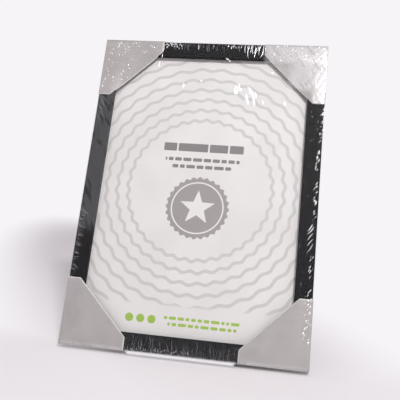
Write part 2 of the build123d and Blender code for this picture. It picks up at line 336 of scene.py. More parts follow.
def ring_mask(tree, across, up, reach):
    """Rings about the print's centre with wavy edges, the petals of each between those of the next."""
    turn = calc(tree, "ROUND", calc(tree, "DIVIDE", minus(tree, reach, RING_FIRST), RING_PITCH))
    middle = calc(tree, "MULTIPLY_ADD", turn, RING_PITCH, RING_FIRST)
    petals = times(tree, calc(tree, "ARCTAN2", across, up), RING_PETALS)
    petals = calc(tree, "COSINE", calc(tree, "MULTIPLY_ADD", turn, math.pi, petals))
    middle = calc(tree, "MULTIPLY_ADD", petals, RING_WAVE, middle)
    half = RING_STROKE / 2
    ring = ramp(tree, apart(tree, reach, middle), half + SOFT_EDGE, half)
    ring = times(tree, ring, calc(tree, "GREATER_THAN", turn, -0.5))
    ring = times(tree, ring, calc(tree, "LESS_THAN", turn, RING_COUNT - 0.5))
    end = RING_END - PRINT_CENTRE
    return times(tree, ring, ramp(tree, up, end - RING_FADE, end + RING_FADE))


def print_material():
    """The insert's paper and print."""
    made, tree = material("insert_print")
    place = face_place(tree)
    parts = node(tree, "SeparateXYZ", {0: place}).outputs
    across = parts[0]
    up = minus(tree, parts[2], PRINT_CENTRE)
    flat = node(tree, "CombineXYZ", {0: across, 2: up}).outputs[0]
    reach = node(tree, "VectorMath", {0: flat}, operation="LENGTH").outputs["Value"]
    green = [word_rows(tree, across, up, GREEN_ROWS)]
    for x, z in GREEN_DOTS:
        offset = node(tree, "VectorMath", {0: flat, 1: (x, 0.0, z)}, operation="DISTANCE").outputs["Value"]
        green.append(ramp(tree, offset, GREEN_DOT_RADIUS + SOFT_EDGE, GREEN_DOT_RADIUS))
    fibre = noise(tree, place, 1.6, 4.0)
    cloud = noise(tree, place, 0.02, 2.0)
    base = blend(tree, ramp(tree, cloud, 0.3, 0.7), PAPER, PAPER_SHADE)
    base = blend(tree, ring_mask(tree, across, up, reach), base, RING_GREY)
    seal, blank = seal_masks(tree, across, up)
    base = blend(tree, seal, base, SEAL_GREY)
    base = blend(tree, blank, base, PAPER)
    base = blend(tree, word_rows(tree, across, up, GREY_ROWS), base, WORD_GREY)
    base = blend(tree, largest(tree, green), base, GREEN)
    principled(tree, {
        "Base Color": base,
        "Roughness": ramp(tree, fibre, 0.3, 0.7, 0.5, 0.62),
        "Normal": bump(tree, fibre, 0.015, 0.4),
    })
    return made


def board_material():
    """Pressed fibre board: fine chips, a warm mottle and rubbed patches."""
    made, tree = material("fibre_board")
    place = face_place(tree)
    chips = noise(tree, place, 0.9, 6.0)
    strands = noise(tree, place, 1.4, 5.0, (1.0, 1.0, 0.25))
    cloud = noise(tree, place, 0.035)
    base = blend(tree, ramp(tree, chips, 0.32, 0.68), BOARD_DARK, BOARD)
    base = blend(tree, times(tree, ramp(tree, strands, 0.55, 0.72), 0.6), base, BOARD_PALE)
    base = blend(tree, times(tree, ramp(tree, cloud, 0.45, 0.75), 0.35), base, BOARD_DARK)
    principled(tree, {
        "Base Color": base,
        "Roughness": ramp(tree, chips, 0.3, 0.7, 0.62, 0.82),
        "Normal": bump(tree, calc(tree, "ADD", chips, strands), 0.06, 0.5),
    })
    return made


def filler_material():
    """Corrugated card, with its flutes showing as faint level stripes."""
    made, tree = material("filler_card")
    place = face_place(tree)
    up = node(tree, "SeparateXYZ", {0: place}).outputs[2]
    flute = calc(tree, "SINE", times(tree, up, FLUTE_TURN))
    fibre = noise(tree, place, 1.1, 5.0)
    base = blend(tree, ramp(tree, fibre, 0.3, 0.7), FILLER_DARK, FILLER)
    base = blend(tree, ramp(tree, flute, -1.0, 1.0, 0.0, 0.3), base, FILLER_DARK)
    principled(tree, {"Base Color": base, "Roughness": 0.85, "Normal": bump(tree, fibre, 0.04, 0.5)})
    return made


def steel_material():
    """Bright zinc plate with a fine rolled grain."""
    made, tree = material("plated_steel")
    place = face_place(tree)
    rolled = noise(tree, place, 4.0, 3.0, (1.0, 1.0, 0.1))
    bloom = noise(tree, place, 0.5, 4.0)
    principled(tree, {
        "Base Color": blend(tree, ramp(tree, bloom, 0.35, 0.7), STEEL, STEEL_DULL),
        "Metallic": 1.0,
        "Roughness": ramp(tree, calc(tree, "ADD", rolled, bloom), 0.7, 1.3, 0.22, 0.42),
        "Normal": bump(tree, rolled, 0.01, 0.4),
    })
    return made


def silver_material():
    """Silver-grey coated card: a fine tooth in the coating, soft cloudiness and faint scuffs."""
    made, tree = material("silver_card")
    place = face_place(tree)
    tooth = noise(tree, place, 3.5)
    cloud = noise(tree, place, 0.05)
    scuff = ramp(tree, noise(tree, place, 0.8, 5.0, (1.0, 1.0, 0.2)), 0.62, 0.75)
    base = blend(tree, ramp(tree, cloud, 0.3, 0.7), SILVER, SILVER_SHADE)
    principled(tree, {
        "Base Color": blend(tree, times(tree, scuff, 0.2), base, CARD_CORE),
        "Metallic": 0.12,
        "Specular IOR Level": 0.3,
        "Roughness": ramp(tree, calc(tree, "ADD", tooth, cloud), 0.7, 1.3, 0.44, 0.54),
        "Normal": bump(tree, calc(tree, "ADD", tooth, cloud), 0.02, 0.35),
    })
    return made


def core_material():
    """Raw pulp board, as on the cut edges and the inside of the card."""
    made, tree = material("card_core")
    fibre = noise(tree, face_place(tree), 1.8, 5.0)
    principled(tree, {
        "Base Color": blend(tree, ramp(tree, fibre, 0.3, 0.7), CARD_CORE, CARD_CORE_SHADE),
        "Roughness": 0.85,
        "Normal": bump(tree, fibre, 0.05, 0.4),
    })
    return made


# Clear streaks in the film's milkiness: slant, what stays milky there, and the whiteness that ends them
STREAK_SLANT = math.radians(35.0)
STREAK_LEAST = 0.3
STREAKS_END = (0.25, 0.4)


def crease_white(tree):
    """How white the film is at a point of its mesh, and the shader that it turns to there. The whiteness is
    partly the film's own milkiness and whitened folds, and partly painted highlights, glints and
    reflections.
    """
    share = node(tree, "Attribute", {}, attribute_name="crease").outputs["Fac"]
    shine = {"Base Color": FILM_WHITE, "Metallic": 0.5, "Roughness": 0.25}
    return share, node(tree, "BsdfPrincipled", shine)


def film_material():
    """Clear shrink film: it mirrors a little all over and is milky, with clear streaks, where it bunches.
    Its white also holds painted sheen, highlights and reflections.
    """
    made, tree = material("clear_film")
    normal = bump(tree, noise(tree, face_place(tree), 0.22), 0.06, 0.5)
    gloss = node(tree, "BsdfGlossy", {"Roughness": 0.08, "Normal": normal})
    clear = node(tree, "BsdfTransparent", {"Color": FILM_TINT})
    mirror = mirror_share(tree, {"IOR": FILM_IOR, "Normal": normal})
    share, white = crease_white(tree)
    slant = {"Vector": face_place(tree), "Rotation": (0.0, STREAK_SLANT, 0.0)}
    streaks = noise(tree, node(tree, "Mapping", slant).outputs[0], 0.35, 3.0, (1.0, 1.0, 0.25))
    streaks = ramp(tree, streaks, 0.36, 0.46, STREAK_LEAST, 1.0)
    streaks = largest(tree, [streaks, ramp(tree, share, *STREAKS_END)])
    share = times(tree, share, streaks)
    surface(tree, mix_shaders(tree, share, mix_shaders(tree, mirror, clear, gloss), white))
    return made


def crease_material():
    """A pinched fold of the film: white along its crest, and clear at its edges, where it joins the film.
    The white crest is partly the fold's own whitening and partly a painted glint.
    """
    made, tree = material("film_crease")
    share, white = crease_white(tree)
    surface(tree, mix_shaders(tree, share, node(tree, "BsdfTransparent", {}), white))
    return made


# Ovals of the floor that glow less, behind the frame and before it, so the floor keeps the frame's shadow
# there;
# they also paint shade: the one behind reaches past the real shadow, and the one before darkens the near
# floor.
# Middle and half sizes in metres, turn, and how much they glow at their middle
SHADES = (
    ((-0.167, 0.328, 0.0), (0.125, 0.6, 1.0), math.radians(28.0), 0.05),
    ((0.0, -0.12, 0.0), (0.22, 0.09, 1.0), 0.0, 0.3),
)
SHADE_NEAR = 0.7
SHADE_FAR = 1.9


def seen_directly(tree):
    """1 for what the camera sees, straight on or in gloss or glass, and 0 for what lights the object."""
    ray = node(tree, "LightPath", {}).outputs
    return largest(tree, [ray["Is Camera Ray"], ray["Is Glossy Ray"], ray["Is Transmission Ray"]])


def floor_material():
    """Pale floor that keeps the shadow of the frame, with painted shade in the ovals, and runs into the
    backdrop's white further off.
    """
    made, tree = material("floor")
    here = node(tree, "TexCoord", {}).outputs["Object"]
    share = seen_directly(tree)
    for middle, half, turn, least in SHADES:
        oval = {"Vector": here, "Location": middle, "Rotation": (0.0, 0.0, turn), "Scale": half}
        place = node(tree, "Mapping", oval, vector_type="TEXTURE").outputs[0]
        reach = node(tree, "VectorMath", {0: place}, operation="LENGTH").outputs["Value"]
        share = calc(tree, "MINIMUM", share, ramp(tree, reach, SHADE_NEAR, SHADE_FAR, least, 1.0))
    matt = node(tree, "BsdfDiffuse", {"Color": FLOOR})
    glow = node(tree, "Emission", {"Color": BACKDROP, "Strength": 1.0})
    surface(tree, mix_shaders(tree, share, matt, glow))
    return made


# Meshes: what counts as a sharp edge, and how edges are taken off
SHARP_ANGLE = math.radians(40.0)
EDGE_STEPS = 2
WELD_REACH = 1e-6
BOARD_EDGE = 0.3
PLATE_EDGE = 0.12
BUTTON_EDGE = 0.18


def piece(name, body, points, faces, materials, stands_for):
    """A mesh from points in the shared frame, riding on a body in the place of CAD nodes."""
    mesh = bpy.data.meshes.new(name)
    mesh.from_pydata(points, [], faces)
    for finish in materials:
        mesh.materials.append(finish)
    mesh.polygons.foreach_set("use_smooth", [True] * len(mesh.polygons))
    mesh.update()
    made = bpy.data.objects.new(name, mesh)
    bpy.context.scene.collection.objects.link(made)
    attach(made, body)
    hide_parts(*stands_for)
    return made


def placed(matrix, points):
    """Points moved by a matrix."""
    return [matrix @ Vector(point) for point in points]


def quads(rows, columns, first=0, closed=False):
    """Faces over points that are listed row by row. A closed row joins its last point to its first."""
    faces = []
    for r in range(rows - 1):
        start = first + r * columns
        for c in range(columns if closed else columns - 1):
            here, beside = start + c, start + (c + 1) % columns
            faces.append((here, beside, beside + columns, here + columns))
    return faces


def tube(rings, sides):
    """Faces of a closed tube over rings of points, with a cap on either end."""
    last = sides * (rings - 1)
    caps = [tuple(range(sides))[::-1], tuple(range(last, last + sides))]
    return quads(rings, sides, closed=True) + caps


def smooth(value):
    """A soft step from 0 to 1."""
    held = np.clip(value, 0.0, 1.0)
    return held * held * (3 - 2 * held)


def finish_nodes(names, finish, edge=0.0):
    """Gives CAD nodes their material, and takes off their sharp edges by a width."""
    for name in names:
        mesh = nodes[name].data
        mesh.materials.clear()
        mesh.materials.append(finish)
        if not edge:
            continue
        mesh.polygons.foreach_set("use_smooth", [True] * len(mesh.polygons))
        nodes[name].modifiers.new("joined", "WELD").merge_threshold = WELD_REACH
        soft = nodes[name].modifiers.new("edges", "BEVEL")
        soft.width = edge * MM
        soft.segments = EDGE_STEPS
        soft.limit_method = "ANGLE"
        soft.angle_limit = SHARP_ANGLE
        soft.harden_normals = True


# Folded card corners
CARD_LEG = 64.0
CARD_END = 12.0
CARD_FLAP = 12.0
CARD_TAPER = 7.0
CARD_BOW = 0.35
CARD_SAG = {"top": 2.2, "bottom": 0.6}
SAG_START = 36.0
SAG_RUN = 40.0
HELD_BELOW = 11.0
HELD_RUN = 14.0
FOLD_ROUND = 0.9
FOLD_START = FOLD_ROUND - CARD
FOLD_STEPS = 5
CUT_WIDTH = 0.9
CUT_DROP = 0.5
# Steps of the card's mesh: along each line, across the straight ends, and from there to the cut edge
CARD_COLUMNS = 34
END_STEPS = 8
LEG_STEPS = 27


def bow(inset_across, inset_up):
    """How far a sheet stands proud at insets from two outer edges: none at its folds, most over the pane."""
    share = 1.0
    for inset in (inset_across, inset_up):
        share = share * (1 - np.clip(1 - (inset - FOLD_START) / FACE_WIDTH, 0, 1) ** 2)
    return CARD_BOW * share


def card_sag(across, up):
    """The share by which the film presses the card in: most along its slanted edge, none on the rails."""
    loose = smooth((np.minimum(across, up) - HELD_BELOW) / HELD_RUN)
    return loose * smooth((across + up - SAG_START) / SAG_RUN)


def card_section():
    """Outer line of the card from the front round to the flap's end, as (inset, depth, flap) steps."""
    back = DEPTH + CARD
    turns = [math.pi / 2 * (i + 1) / FOLD_STEPS for i in range(FOLD_STEPS)]
    line = []
    for turn in turns:
        inset = FOLD_START - FOLD_ROUND * math.sin(turn)
        line.append((inset, FOLD_START - FOLD_ROUND * math.cos(turn), 0.0))
    for depth in np.linspace(FOLD_START, back - FOLD_ROUND, FOLD_STEPS)[1:]:
        line.append((-CARD, depth, 0.0))
    for turn in turns:
        depth = back - FOLD_ROUND * (1 - math.sin(turn))
        line.append((FOLD_START - FOLD_ROUND * math.cos(turn), depth, 0.0))
    for flap in np.linspace(FOLD_START, CARD_FLAP, FOLD_STEPS)[1:]:
        line.append((flap, back, flap))
    return line


def to_cut(start, end, count):
    """Places from start to a cut edge, the last step being the edge's own slope."""
    return np.append(np.linspace(start, end - CUT_WIDTH, count), end)


def cut_strip(rows, columns, last_row):
    """For each face of a grid, 1 along its cut edge, where the card's core shows, and 0 elsewhere."""
    return [
        int(c == columns - 2 or (last_row and r == rows - 2))
        for r in range(rows - 1)
        for c in range(columns - 1)
    ]


def flap_end(flap):
    """Where a wall or flap ends along the rail: the flap tapers towards its own edge."""
    return CARD_LEG - CARD_TAPER * flap / CARD_FLAP


def card_shape(sag):
    """A lower left card corner: points as (inset across, depth, inset up), faces, and which are cut."""
    to_end = np.linspace(FOLD_START, CARD_END, END_STEPS)[:-1]
    insets = np.append(to_end, to_cut(CARD_END, CARD_LEG, LEG_STEPS))
    section = card_section()
    points = []
    for across, depth, flap in reversed(section):
        ups = to_cut(flap if flap else across, flap_end(flap), CARD_COLUMNS - 1)
        points += [(across, depth, up) for up in ups]
    for across in insets:
        ups = to_cut(FOLD_START, min(CARD_LEG, CARD_LEG + CARD_END - across), CARD_COLUMNS - 1)
        drop = np.full(CARD_COLUMNS, CUT_DROP if across == insets[-1] else 0.0)
        drop[-1] = CUT_DROP
        depths = sag * card_sag(across, ups) + drop - CARD - bow(across, ups)
        points += [(across, depth, up) for depth, up in zip(depths, ups)]
    rows = len(section) + len(insets)
    faces = quads(rows, CARD_COLUMNS)
    cut = cut_strip(rows, CARD_COLUMNS, True)
    # The lower wall and its flap hang on the front's lowest points
    first = len(points)
    points += points[len(section) * CARD_COLUMNS::CARD_COLUMNS]
    shares = (insets - FOLD_START) / (CARD_LEG - FOLD_START)
    for up, depth, flap in section:
        start = flap if flap else FOLD_START
        points += [(start + share * (flap_end(flap) - start), depth, up) for share in shares]
    faces += quads(len(section) + 1, len(insets), first)
    cut += cut_strip(len(section) + 1, len(insets), False)
    return points, faces, cut


def card_corner(top, side, finishes):
    """One folded card corner, mirrored from the lower left to its place."""
    points, faces, cut = card_shape(CARD_SAG[top])
    outward = 1 if side == "right" else -1
    points = [
        (outward * (WIDTH / 2 - across), depth, HEIGHT - up if top == "top" else up)
        for across, depth, up in points
    ]
    if (side == "right") == (top == "top"):
        faces = [face[::-1] for face in faces]
    made = piece(
        f"card_corner_{top}_{side}", "frame", placed(FACE, points), faces, finishes,
        [f"corner_protector_{top}_{side}"],
    )
    made.data.polygons.foreach_set("material_index", cut)
    thick = made.modifiers.new("thickness", "SOLIDIFY")
    thick.thickness = (CARD - CARD_PLAY) * MM
    thick.offset = -1.0
    thick.material_offset = 1
    thick.material_offset_rim = 1


# Clear wrap, drawn from coordinates on the film as if it lay unfolded in the plane of the face
FILM_FOLD = 0.9
FILM_EDGE = FILM_REACH - FILM / 2
FILM_WALL = 9.5
FILM_HALF = WIDTH / 2 + FILM_EDGE - FILM_FOLD
FILM_LOW = FILM_FOLD - FILM_EDGE
FILM_HIGH = HEIGHT - FILM_LOW
FILM_BAND = 24.0
FILM_FINEST = 0.4
FILM_FINE = 1.6
FILM_COARSE = 4.0
FILM_RIPPLE = 0.05
RIPPLE_START = 9.0
RIPPLE_RUN = 13.0
# How fast the ripple turns across and up, in radians to a millimetre, and how far and fast its lines drift
RIPPLE_ACROSS = 0.9
RIPPLE_UP = 0.7
RIPPLE_DRIFT = 2.0
DRIFT_ACROSS = 0.13
DRIFT_UP = 0.11
# Baggy lower edge: how far it hangs, where and over what run, its white fold, which is a painted highlight,
# and its room above the floor
BELLY = 3.0
BELLY_MIDDLE = -2.0
BELLY_RUN = 2.6
BELLY_HALF = WIDTH / 2 - CARD_LEG
BELLY_EASE = 5.0
WHITE_MOST = 0.95
WHITE_MIDDLE = 0.1
WHITE_RUN = 1.0
FLOOR_ROOM = 0.2
# Milky patches, most of them painted light: a painted sheen on the upper left rail, painted highlights over
# the upper right card and its edge, painted reflections of the floor along the lower cards' folds, and a
# faint
# white patch on the lower rail. Columns: x and z of two corners, the run over which they fade, and how white
HAZE_AND_PAINTED_SHEEN = (
    (-118.0, 120.0, -101.0, 262.0, 14.0, 0.068),
    (-54.0, 2.0, 54.0, 16.0, 10.0, 0.012),
    (107.0, 260.0, 117.0, 316.0, 2.2, 0.085),
    (58.0, 305.0, 117.0, 321.0, 6.0, 0.17),
    (86.0, 278.0, 101.0, 312.0, 9.0, 0.14),
    (-116.0, -1.0, -57.0, 1.5, 2.0, 0.22),
    (57.0, -1.0, 116.0, 1.5, 2.0, 0.22),
)
# Pinched folds: mesh steps, roundness of the tips, bend and its cap, lift off the film, and the crest's form
WRINKLE_SEED = 11
CREASE_STEP = 1.2
CREASE_STEPS_LEAST = 4
CREASE_TIP = 0.02
CREASE_BEND = 0.12
CREASE_LONG = 16.0
CREASE_LIFT = 0.03
CREASE_RISE = 0.4
CREASE_WIDE = 0.6
CREASE_CREST = 0.5


def film_fold(along, middle, half):
    """Where a line of the unfolded film lies: its place on the face, its depth, and how it faces there."""
    side = np.sign(along - middle)
    over = np.abs(along - middle) - half
    turn = np.clip(over / FILM_FOLD, 0.0, math.pi / 2)
    place = middle + side * (half + np.minimum(over, 0.0) + FILM_FOLD * np.sin(turn))
    depth = FILM_FOLD * (1 - np.cos(turn)) + np.maximum(over - FILM_FOLD * math.pi / 2, 0.0)
    return place, depth, side * np.sin(turn)


def belly_share(x, z, middle, run):
    """A hump about a height on the film, between the lower cards, where it bags out under the rail."""
    held = smooth((BELLY_HALF - np.abs(x)) / BELLY_EASE)
    return held * np.exp(-((z - middle) / run) ** 2)


def film_ripple(x, z):
    """Small waves of the film, between -1 and 1, along lines that drift about."""
    across = np.sin(RIPPLE_ACROSS * x + RIPPLE_DRIFT * np.sin(DRIFT_UP * z))
    return across * np.sin(RIPPLE_UP * z + RIPPLE_DRIFT * np.sin(DRIFT_ACROSS * x))


def film_points(x, z, lift):
    """Points of the film in the shared frame, lifted off its surface by an amount."""
    px, depth_x, face_x = film_fold(x, 0.0, FILM_HALF)
    pz, depth_z, face_z = film_fold(z, HEIGHT / 2, HEIGHT / 2 - FILM_LOW)
    insets = (WIDTH / 2 - np.abs(px), HEIGHT / 2 - np.abs(pz - HEIGHT / 2))
    at_edge = 1 - smooth((np.minimum(*insets) - RIPPLE_START) / RIPPLE_RUN)
    out = lift + FILM_RIPPLE * (film_ripple(x, z) * at_edge)
    ahead = np.sqrt(np.maximum(1 - face_x ** 2 - face_z ** 2, 0.0))
    y = depth_x + depth_z - FILM_EDGE - bow(*insets) - out * ahead
    pz = pz + out * face_z - BELLY * belly_share(x, z, BELLY_MIDDLE, BELLY_RUN)
    floor = (FLOOR_ROOM - STAND.z / MM + y * math.sin(LEAN)) / math.cos(LEAN)
    return placed(FACE, np.stack([px + out * face_x, y, np.maximum(pz, floor)], axis=1))


def film_haze_and_sheen(x, z):
    """How white the film is by itself: milky patches that are mostly painted sheen, highlights and
    reflections, and the painted highlight along the baggy lower edge.
    """
    white = WHITE_MOST * belly_share(x, z, WHITE_MIDDLE, WHITE_RUN)
    for x0, z0, x1, z1, ease, most in HAZE_AND_PAINTED_SHEEN:
        share = smooth((x - x0) / ease + 1) * smooth((x1 - x) / ease + 1)
        share = share * smooth((z - z0) / ease + 1) * smooth((z1 - z) / ease + 1)
        white = np.maximum(white, most * share)
    return white


class Film:
    """The film's mesh as it grows: points, their whiteness, the film's own faces and those of its folds."""

    def __init__(self, seed):
        self.draw = random.Random(seed)
        self.points = []
        self.white = []
        self.faces = []
        self.pinched = []

    def patch(self, across, up):
        """Part of the film itself, over a grid."""
        x, z = (grid.ravel() for grid in np.meshgrid(across, up))
        self.faces += quads(len(up), len(across), len(self.points))
        self.points += film_points(x, z, 0.0)
        self.white += film_haze_and_sheen(x, z).tolist()

    def corner(self, x_side, z_side):
        """The rounded corner between two walls."""
        turns = np.linspace(0.0, math.pi / 2, FOLD_STEPS + 1)
        rows = [(math.sin(turn), FILM_FOLD * (1 - math.cos(turn))) for turn in turns]
        rows += [(1.0, FILM_FOLD + FILM_WALL * step / FOLD_STEPS) for step in range(1, FOLD_STEPS + 1)]
        middle_z = FILM_HIGH if z_side > 0 else FILM_LOW
        points = []
        for reach, depth in rows:
            for turn in turns:
                x = x_side * (FILM_HALF + FILM_FOLD * reach * math.cos(turn))
                z = middle_z + z_side * FILM_FOLD * reach * math.sin(turn)
                points.append((x, depth - FILM_EDGE, z))
        faces = quads(len(rows), len(turns), len(self.points))
        self.faces += faces if x_side * z_side < 0 else [face[::-1] for face in faces]
        self.points += placed(FACE, points)
        self.white += [0.0] * len(points)

    def crease(self, x, z, angle, length, width, white):
        """One pinched fold from a point: a narrow ridge that fades out at its edges and ends."""
        steps = max(CREASE_STEPS_LEAST, round(length / CREASE_STEP))
        along = np.linspace(0.0, 1.0, steps + 1)
        swell = np.sqrt(np.sin(math.pi * (CREASE_TIP + (1 - 2 * CREASE_TIP) * along)))
        bend = self.draw.uniform(-CREASE_BEND, CREASE_BEND) * min(length, CREASE_LONG)
        bend = bend * 4 * along * (1 - along)
        ahead = (math.cos(math.radians(angle)), math.sin(math.radians(angle)))
        sides = (1.0, CREASE_CREST, -CREASE_CREST, -1.0)
        across = np.stack([bend + share * width * swell for share in sides], axis=1).ravel()
        run = np.repeat(along * length, len(sides))
        crest = np.stack([0 * swell, swell, swell, 0 * swell], axis=1).ravel()
        place = (x + run * ahead[0] - across * ahead[1], z + run * ahead[1] + across * ahead[0])
        self.pinched += quads(steps + 1, len(sides), len(self.points))
        rise = CREASE_RISE * min(width, CREASE_WIDE)
        self.points += film_points(*place, CREASE_LIFT + rise * crest)
        self.white += (white * crest).tolist()

    def creases(self, count, box, angle, spread, lengths, widths, whites):
        """Folds spread along a box's longer side, with ranges for their length, half width and whiteness."""
        spans = (box[2] - box[0], box[3] - box[1])
        for i in range(count):
            shares = [(i + self.draw.random()) / count, self.draw.random()]
            if spans[0] < spans[1]:
                shares.reverse()
            turned = angle + self.draw.uniform(-spread, spread)
            sizes = [self.draw.uniform(*limits) for limits in (lengths, widths, whites)]
            self.crease(box[0] + shares[0] * spans[0], box[1] + shares[1] * spans[1], turned, *sizes)


# A run of folds has its count, box, angle, spread, lengths, half widths and whites, a single fold its x, z,
# angle, length, half width and white
def wrinkle(film):
    """The folds that shrinking leaves: along the edges, over the card corners, and a few on the pane. Their
    white is partly the pinched film's own whitening and partly painted glints.
    """
    run = film.creases
    fold = film.crease
    side = WIDTH / 2
    # Top edge: a dense run before the right corner, fine marks elsewhere
    run(14, (33, 321, 56, 324), -96, 6, (6, 15), (0.35, 0.6), (0.5, 0.95))
    run(6, (15, 320, 30, 323), -95, 12, (2.5, 5), (0.4, 0.6), (0.4, 0.8))
    run(40, (-54, 321, 33, 324), -92, 12, (3, 11), (0.3, 0.5), (0.03, 0.14))
    run(26, (-53, 317, -34, 324), -100, 30, (1.6, 4), (0.4, 0.65), (0.2, 0.7))
    fold(-16.8, 321.5, -86, 7.5, 0.5, 0.7)
    fold(13.5, 305.5, -25, 4.5, 0.9, 0.95)
    fold(17.0, 304.2, -60, 3.5, 0.6, 0.8)
    fold(-53.9, 321.0, -92, 11.0, 0.4, 0.35)
    fold(-54.6, 309.0, -93, 6.0, 0.5, 0.85)
    fold(-56.0, 300.0, -94, 7.0, 0.6, 0.9)
    # Right edge: slanted folds in groups, between two heights, with the longest below the middle
    groups = ((9, 186, 207), (4, 164, 174), (4, 151, 160), (3, 139, 147), (6, 81, 102), (4, 60, 72))
    run(5, (side - 9, 106, side - 8, 130), 58, 4, (8, 11), (0.45, 0.6), (0.7, 1.0))
    for count, low, high in groups:
        run(count, (side - 6, low, side - 3, high), 60, 10, (3, 5), (0.4, 0.55), (0.5, 1.0))
    run(16, (side - 4, 215, side, 255), 60, 30, (2, 6), (0.4, 0.6), (0.2, 0.7))
    run(30, (side - 15, 64, side - 1, 258), 90, 60, (1, 4), (0.3, 0.5), (0.05, 0.2))
    # Left edge: long faint streaks near the upper corner, shorter ones lower down
    run(14, (-side - 1, 234, -side + 4, 262), -48, 8, (9, 17), (0.3, 0.45), (0.05, 0.2))
    run(44, (-side - 2, 64, -side + 1, 135), -20, 18, (5, 12), (0.3, 0.5), (0.06, 0.22))
    # Bottom edge: upright streaks and short bright ticks at the fold
    run(56, (-54, -1, 54, 3), 92, 6, (6, 16), (0.35, 0.5), (0.02, 0.12))
    run(26, (-54, 1, 10, 3), 88, 20, (1.5, 3.5), (0.3, 0.5), (0.15, 0.5))
    # Card corners
    run(14, (-side + 3, 264, -103, 316), 110, 60, (1.4, 3.2), (0.5, 0.8), (0.3, 0.9))
    run(14, (-102, 302, -62, 320), 110, 60, (1.4, 3.2), (0.5, 0.8), (0.3, 0.8))
    run(10, (-104, 272, -86, 300), 110, 60, (1.4, 3.0), (0.5, 0.8), (0.3, 0.8))
    run(16, (-106, 312, -92, 322), -60, 40, (1.4, 3.2), (0.4, 0.7), (0.4, 0.9))
    run(50, (62, 303, side - 2, 321), 100, 60, (1.2, 3.6), (0.5, 0.9), (0.2, 0.6))
    run(8, (side - 10, 290, side - 2, 318), -90, 4, (14, 26), (0.6, 1.4), (0.02, 0.06))
    fold(side - 1.2, 318.0, -90, 56.0, 0.8, 0.5)
    run(20, (side - 8, 22, side - 2, 62), 62, 25, (1.6, 4), (0.5, 0.8), (0.4, 1.0))
    # Pane: the wide soft white folds and the single bright ones are mostly painted glints
    run(5, (24, 270, 33, 280), -82, 8, (7, 10), (1.4, 2.2), (0.15, 0.4))
    run(7, (35, 260, 46, 277), -78, 8, (9, 15), (1.8, 2.8), (0.15, 0.45))
    run(14, (-60, 30, 90, 250), 20, 80, (0.8, 2.4), (0.3, 0.5), (0.1, 0.3))
    fold(-28.0, 275.5, -88, 6.0, 1.1, 1.0)
    fold(-9.5, 280.0, -88, 3.0, 1.0, 1.0)
    fold(55.5, 260.0, -75, 5.0, 0.9, 0.9)
    fold(78.0, 260.0, -80, 6.0, 1.0, 1.0)
    fold(61.0, 290.0, 15, 4.0, 0.9, 0.9)


def even(start, end, pitch):
    """Places from start to end, about a pitch apart."""
    return np.linspace(start, end, round((end - start) / pitch) + 1)


def clear_wrap():
    """The film over the front and the four walls, with its corners and folds."""
    rounds = FILM_FOLD * np.linspace(0.0, math.pi / 2, FOLD_STEPS + 1)
    outward = np.concatenate([rounds, even(rounds[-1], rounds[-1] + FILM_WALL, FILM_FINE)[1:]])
    inner_x = FILM_HALF - FILM_BAND
    inner_z = (FILM_LOW + FILM_BAND, FILM_HIGH - FILM_BAND)
    full_x = even(-FILM_HALF, FILM_HALF, FILM_FINE)
    full_z = even(FILM_LOW, FILM_HIGH, FILM_FINE)
    mid_z = even(*inner_z, FILM_FINE)
    film = Film(WRINKLE_SEED)
    film.patch(full_x, even(FILM_LOW, FILM_LOW + FILM_FINE, FILM_FINEST))
    film.patch(full_x, even(FILM_LOW + FILM_FINE, inner_z[0], FILM_FINE))
    film.patch(full_x, even(inner_z[1], FILM_HIGH, FILM_FINE))
    film.patch(even(-FILM_HALF, -inner_x, FILM_FINE), mid_z)
    film.patch(even(inner_x, FILM_HALF, FILM_FINE), mid_z)
    film.patch(even(-inner_x, inner_x, FILM_COARSE), even(*inner_z, FILM_COARSE))
    film.patch(full_x, FILM_LOW - outward[::-1])
    film.patch(full_x, FILM_HIGH + outward)
    film.patch(-FILM_HALF - outward[::-1], full_z)
    film.patch(FILM_HALF + outward, full_z)
    for x_side in (-1, 1):
        for z_side in (-1, 1):
            film.corner(x_side, z_side)
    wrinkle(film)
    made = piece(
        "clear_wrap", "frame", film.points, film.faces + film.pinched,
        [film_material(), crease_material()], ["shrink_film"],
    )
    indices = [0] * len(film.faces) + [1] * len(film.pinched)
    made.data.polygons.foreach_set("material_index", indices)
    # The crease attribute holds all the film's whiteness: whitened folds and milkiness, with painted sheen,
    # highlights and glints
    made.data.attributes.new("crease", "FLOAT", "POINT").data.foreach_set("value", film.white)
    made.visible_shadow = False


# Fasteners and wire rings
ROUND_STEPS = 32
SCREW_SEED = 5
SCREW_RADIUS = 1.5
SCREW_HEAD_RADIUS = 2.8
SCREW_HEAD_HEIGHT = 1.5
SCREW_HEAD_EDGE = 0.35
SCREW_SEAT = 1.1
SCREW_DEPTH = -2.0
# Cross recess: its arms, and its rings as shares of its reach and depth
CROSS_ARMS = 4
CROSS_ARM = 1.7
CROSS_HALF = 0.36
CROSS_DEPTH = 1.0
CROSS_RINGS = ((0.2, 1.0), (0.85, 0.8))
# Rings of a screw's head from its recess to its rim, steps between two arms, and rings of a rivet's head
SCREW_RINGS = (0.0, 0.3, 0.6, 0.85, 1.0)
SCREW_STEPS = 7
RIVET_RINGS = (0.1, 0.35, 0.6, 0.8, 0.93, 1.0)
RIVET_RADIUS = 1.5
RIVET_TAIL_RADIUS = 2.2
RIVET_TAIL_DEPTH = 0.5
RIVET_HEAD_HEIGHT = 1.1
RIVET_HEAD_EDGE = 0.25
WIRE_RADIUS = 0.9
WIRE_SIDES = 14
ARC_STEPS = 8


def stand_at(name, turn=Matrix.Identity(4)):
    """A frame in millimetres at a joint, leaning as the face does and turned from there."""
    return Matrix.Translation(pivots[name]) @ LEANING @ turn @ Matrix.Scale(MM, 4)


